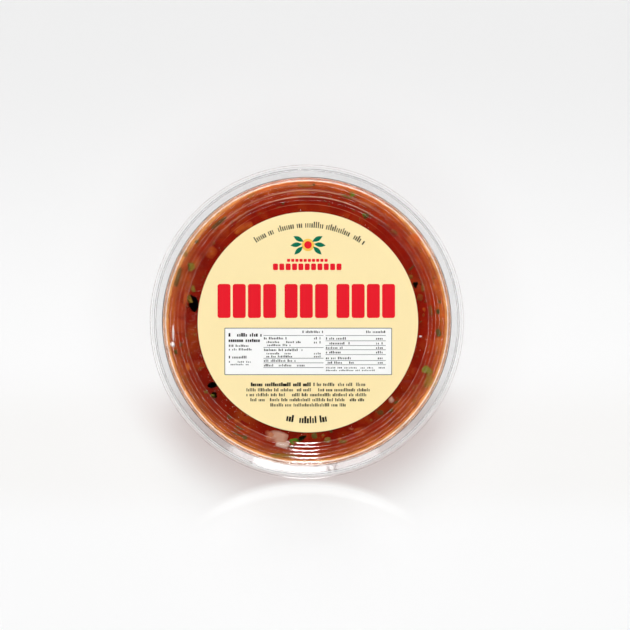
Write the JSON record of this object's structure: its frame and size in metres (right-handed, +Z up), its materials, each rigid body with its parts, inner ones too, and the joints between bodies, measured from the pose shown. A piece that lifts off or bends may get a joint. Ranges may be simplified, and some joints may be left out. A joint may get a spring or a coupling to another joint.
{
  "type": "pico de gallo in a clear lidded tub",
  "caption": "Shallow round clear plastic tub filled with diced tomato salsa, closed by a stepped push-fit lid with a plain round paper label on top",
  "frame": {"origin": "centre of the tub's foot, on the surface that it stands on", "axes": "+Z up along the tub's axis, out through the lid; +Y is the top of the label's print; +X is the label's right"},
  "size_m": [0.118, 0.118, 0.046],
  "materials": {
    "clear_tub": "thin clear moulded plastic, glossy",
    "clear_lid": "thin clear formed plastic, glossy",
    "label_paper": "printed, lightly coated",
    "salsa": "wet chopped vegetables in red juice"
  },
  "bodies": {
    "root": {"tub": "clear_tub", "lid": "clear_lid", "label": "label_paper", "salsa": "salsa"}
  },
  "joints": []
}
